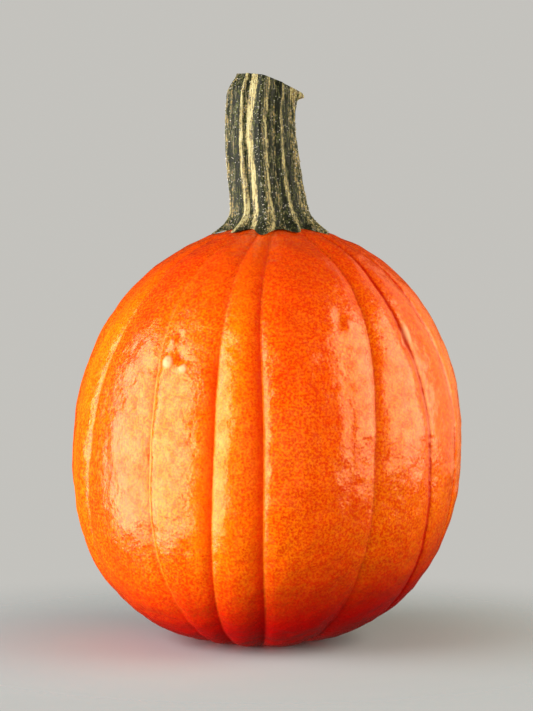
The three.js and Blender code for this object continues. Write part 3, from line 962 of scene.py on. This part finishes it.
def stripe_value(azimuth, w, points):
    """The stripe number round the stem: the listed stripes in front, drawn ones behind, and the pale stub."""
    degrees = np.degrees(azimuth - RIDGE_TWIST * (w - STRIPE_LEVEL))
    degrees = degrees + STRIPE_WANDER * lattice_noise(points / STRIPE_WANDER_CELL, 1, SEEDS["wander"])
    draws = np.random.default_rng(SEEDS["back stripes"])
    shades = draws.choice([DARK, GREEN, OLIVE, OCHRE, CREAM], BACK_STRIPE_DRAWS)
    step = BACK_STRIPES_ACROSS / BACK_STRIPE_DRAWS
    listed = np.array(STRIPES + [(BACK_STRIPES_FROM + step * i, shade) for i, shade in enumerate(shades)])
    value = np.interp(degrees % 360, *listed[np.argsort(listed[:, 0] % 360)].T, period=360)
    on_spur = hump(azimuth, SPUR_ANGLE, SPUR_SHADE_HALF_ANGLE) * hump(w, 1, SPUR_SHADE_SPAN)
    return value + (SPUR_SHADE - value) * on_spur


print(len(STRIPES), "listed stripe places and", BACK_STRIPE_DRAWS, "drawn ones")

# %% Build the stem
STEM_COLUMNS = 300
STEM_ROWS = 230
FOOT_RINGS = 8
CUT_RINGS = 24
CUT_ROUGHNESS = 0.35
CUT_GRAIN = 1.1
CUT_RIM_POWER = 6
POLE_STRIPE = 0.5

turns = np.linspace(0, 2 * math.pi, STEM_COLUMNS, endpoint=False)[None, :]
shrink = np.arange(1, CUT_RINGS)[:, None] / CUT_RINGS
cut_end = stem_points(turns, np.ones_like(shrink), shrink)
cut_end[..., 2] -= CUT_DISH * (1 - shrink**2)
cut_noise = lattice_noise(cut_end, CUT_GRAIN, SEEDS["cut end"])
cut_end[..., 2] += CUT_ROUGHNESS * cut_noise * (1 - shrink**CUT_RIM_POWER)
up_side = 1 - np.arange(STEM_ROWS + 1)[:, None] / STEM_ROWS
side = stem_points(turns, up_side)
shrink_foot = np.arange(FOOT_RINGS - 1, 0, -1)[:, None] / FOOT_RINGS
foot = stem_points(turns, np.zeros_like(shrink_foot), shrink_foot)
stem_rings = np.concatenate([cut_end, side, foot])
cut_pole = stem_points(np.zeros(1), np.ones(1), 0.0)[0] - (0, 0, CUT_DISH)
foot_pole = stem_points(np.zeros(1), np.zeros(1), 0.0)[0]
stem = closed_skin("stalk", cut_pole, stem_rings, foot_pole)

stripes = stripe_value(turns, up_side, side)
end_stripes = np.repeat(stripes[:1], CUT_RINGS - 1, axis=0)
foot_stripes = np.repeat(stripes[-1:], FOOT_RINGS - 1, axis=0)
all_stripes = np.concatenate([end_stripes, stripes, foot_stripes])
store_numbers(stem, "stripe", POLE_STRIPE, all_stripes, POLE_STRIPE)
cut_mask = np.zeros(stem_rings.shape[:2])
cut_mask[:CUT_RINGS - 1] = 1
store_numbers(stem, "cut", 1, cut_mask, 0)
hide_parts("stem")
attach(stem, "root")
print("stalk", stem_rings.shape, "points, highest", round(stem_rings[..., 2].max(), 1), "mm")

# %% [markdown]
# ## Bristles
# The ridges carry rows of pale pimples, the stubs of the bristles that a green stem has. They stand
# proud and catch the light, so each is a real little cone. There are hundreds, so a cone has only ten faces,
# and all of them are one mesh, set by seeded draws along the crests of the ridges.

# %% Build the bristles
BRISTLE_COUNT = 640
LESSER_RIDGE_SHARE = 0.22
MAIN_RIDGE_SPREAD = 0.07
LESSER_RIDGE_SPREAD = 0.04
BRISTLE_ENDS = (0.03, 0.985)
BRISTLE_SIZES = (0.35, 1.25)
BRISTLE_RADIUS = 0.27
BRISTLE_HEIGHT = 0.42
BRISTLE_SINK = 0.08
BRISTLE_ROOT = 0.5
BRISTLE_SIDES = 5


def bristle_points():
    """Cones on the ridges: for each a ring of five points, a tip outside and a root inside the stem."""
    draws = np.random.default_rng(SEEDS["bristles"])
    ridge = 2 * draws.integers(0, RIDGE_COUNT, BRISTLE_COUNT)
    ridge = ridge + (draws.random(BRISTLE_COUNT) < LESSER_RIDGE_SHARE)
    spread = np.where(ridge % 2 == 0, MAIN_RIDGE_SPREAD, LESSER_RIDGE_SPREAD)
    turned = ridge * math.pi / RIDGE_COUNT + draws.normal(0, 1, BRISTLE_COUNT) * spread
    w = draws.uniform(*BRISTLE_ENDS, BRISTLE_COUNT)
    azimuth = turned + FRONT_RIDGE_ANGLE + RIDGE_TWIST * w
    size = draws.uniform(*BRISTLE_SIZES, BRISTLE_COUNT)
    middle = stem_points(azimuth, w)
    out = np.stack([np.sin(azimuth), -np.cos(azimuth), 0 * w], axis=-1)
    aside = np.stack([np.cos(azimuth), np.sin(azimuth), 0 * w], axis=-1)
    up = np.array([0, 0, 1.0])
    angle = 2 * math.pi * np.arange(BRISTLE_SIDES) / BRISTLE_SIDES
    spoke = np.cos(angle)[None, :, None] * aside[:, None] + np.sin(angle)[None, :, None] * up
    radius = (BRISTLE_RADIUS * size)[:, None, None]
    ring = middle[:, None] + spoke * radius - BRISTLE_SINK * out[:, None]
    tip = middle + out * (BRISTLE_HEIGHT * size)[:, None]
    root = middle - out * BRISTLE_ROOT
    return np.concatenate([ring, tip[:, None], root[:, None]], axis=1)


def bristle_faces():
    """For each cone, triangles from each side of its ring to the tip and to the root."""
    first = (BRISTLE_SIDES + 2) * np.arange(BRISTLE_COUNT)[:, None]
    here = np.arange(BRISTLE_SIDES)[None, :]
    beside = (here + 1) % BRISTLE_SIDES
    tip = first + BRISTLE_SIDES + 0 * here
    outer = np.stack([first + here, first + beside, tip], axis=-1)
    inner = np.stack([first + beside, first + here, tip + 1], axis=-1)
    return np.concatenate([outer.reshape(-1, 3), inner.reshape(-1, 3)]).tolist()


bristles = new_piece("stem_bristles", bristle_points().reshape(-1, 3) * MM, bristle_faces())
bristles.data.shade_smooth()
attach(bristles, "root")
print("bristles", BRISTLE_COUNT, "cones,", len(bristles.data.polygons), "faces")

# %% [markdown]
# ## Stem skin
# A ramp turns the stripe number into the six shades of a drying stem. Fine streaks run along it, mottling and
# pale flecks break the stripes up, and the surface is matt and rough, with the grain in its bump. The cut end
# has the same material with a dry tan laid over it, because there the inner wood shows. The bristles are
# pale and a little glossier.

# %% The stem's and the bristles' materials
STEM_SHADES = {
    # Near-black green: the stem's own colour in its furrows, with painted shade there too.
    DARK: (0.008, 0.010, 0.004, 1),
    GREEN: (0.028, 0.036, 0.010, 1),
    OLIVE: (0.095, 0.100, 0.030, 1),
    GREY: (0.110, 0.095, 0.080, 1),
    OCHRE: (0.280, 0.210, 0.060, 1),
    CREAM: (0.430, 0.400, 0.190, 1),
}
CUT_TAN = (0.42, 0.32, 0.17, 1)
CUT_BROWN = (0.16, 0.10, 0.05, 1)
BRISTLE_PALE = (0.62, 0.60, 0.50, 1)
STREAK_SQUEEZE = (1, 1, 0.07)
STREAK_CHANGE = (0, 1, -0.36, 0.26)
STEM_PATCH_CHANGE = (0, 1, -0.22, 0.18)
STEM_ROUGHNESS = (0, 1, 0.5, 0.75)
STEM_FLECK_STRENGTH = 0.5
STEM_SHINE = 0.2
GRAIN_BUMP = 0.0003
BRISTLE_ROUGHNESS = 0.45


def stem_material():
    """Striped dry skin: a ramp over the stripe number, streaks, mottling, flecks and a tan cut end."""
    material, tree, skin, place = new_material("dry_stem")
    drawn_out = add(tree, "ShaderNodeMapping", {"Vector": place, "Scale": STREAK_SQUEEZE}).outputs[0]
    streaks = use(tree, MOTTLE, {"Place": drawn_out, "Size": 0.6, "Contrast": 4.5})
    patches = use(tree, MOTTLE, {"Place": place, "Size": 0.9, "Contrast": 3.5})
    streaked = span(tree, streaks, *STREAK_CHANGE)
    uneven = calculate(tree, "ADD", streaked, span(tree, patches, *STEM_PATCH_CHANGE))
    stripe = calculate(tree, "ADD", stored_number(tree, "stripe"), uneven)
    shade = add(tree, "ShaderNodeValToRGB", {0: stripe})
    stops = shade.color_ramp.elements
    while len(stops) < len(STEM_SHADES):
        stops.new(0.5)
    for stop, (spot, colour) in zip(stops, STEM_SHADES.items()):
        stop.position = spot
        stop.color = colour
    flecks = use(tree, SPECKLE, {"Place": place, "Size": 0.7, "Share": 0.12})
    flecks = calculate(tree, "MULTIPLY", flecks, STEM_FLECK_STRENGTH)
    colour = blend_colours(tree, flecks, shade.outputs[0], BRISTLE_PALE)
    wood = blend_colours(tree, patches, CUT_BROWN, CUT_TAN)
    colour = blend_colours(tree, stored_number(tree, "cut"), colour, wood)
    tree.links.new(colour, skin.inputs["Base Color"])

    tree.links.new(span(tree, patches, *STEM_ROUGHNESS), skin.inputs["Roughness"])
    skin.inputs["Specular IOR Level"].default_value = STEM_SHINE
    grain = use(tree, PORES, {"Place": drawn_out, "Size": 0.6})
    bump = add(tree, "ShaderNodeBump", {"Strength": 1.0, "Distance": GRAIN_BUMP, "Height": grain})
    tree.links.new(bump.outputs[0], skin.inputs["Normal"])
    return material


def bristle_material():
    """Pale, slightly glossy stubs, a little uneven in colour."""
    material, tree, skin, place = new_material("pale_bristles")
    patches = use(tree, MOTTLE, {"Place": place, "Size": 1.2, "Contrast": 3.0})
    tree.links.new(blend_colours(tree, patches, STEM_SHADES[OLIVE], BRISTLE_PALE), skin.inputs["Base Color"])
    skin.inputs["Roughness"].default_value = BRISTLE_ROUGHNESS
    return material


stem.data.materials.append(stem_material())
bristles.data.materials.append(bristle_material())
print("stem finished")

# %% [markdown]
# ## Floor
# The pumpkin stands on a plain pale floor, which isn't part of the object. It is a small disc that thins out
# into the surrounding, so that there is no horizon behind the fruit. It shows the contact shadow, but the
# wax doesn't mirror it, it bounces no light back and it casts no shadow, so the low ribs keep their deep red.

# %% Lay the floor
FLOOR_RADIUS = 0.2
FLOOR_SOLID_RADIUS = 0.05
FLOOR_COLOUR = (0.42, 0.50, 0.53, 1)
FLOOR_ROUGHNESS = 0.8
FLOOR_RINGS = 12
FLOOR_SIDES = 96


def floor_material():
    """Matt paint that turns clear with distance from the middle."""
    material, tree, paint, place = new_material("pale_floor")
    paint.inputs["Base Color"].default_value = FLOOR_COLOUR
    paint.inputs["Roughness"].default_value = FLOOR_ROUGHNESS
    far = add(tree, "ShaderNodeVectorMath", {0: place}, operation="LENGTH").outputs["Value"]
    clear = span(tree, far, FLOOR_SOLID_RADIUS, FLOOR_RADIUS, 1.0, 0.0)
    tree.links.new(clear, paint.inputs["Alpha"])
    return material


def floor_points():
    """The middle of a flat disc, and rings of points round it, in metres."""
    radii = FLOOR_RADIUS * np.arange(1, FLOOR_RINGS + 1)[:, None] / FLOOR_RINGS
    angle = np.linspace(0, 2 * math.pi, FLOOR_SIDES, endpoint=False)[None, :]
    disc = np.stack([radii * np.cos(angle), radii * np.sin(angle), 0 * radii * angle], axis=-1)
    return np.vstack([np.zeros((1, 3)), disc.reshape(-1, 3)])


floor = new_piece("floor", floor_points(), ring_faces(FLOOR_RINGS, FLOOR_SIDES)[0])
floor.data.materials.append(floor_material())
floor.visible_glossy = False
floor.visible_diffuse = False
floor.visible_shadow = False
print("floor", FLOOR_RADIUS, "m radius")
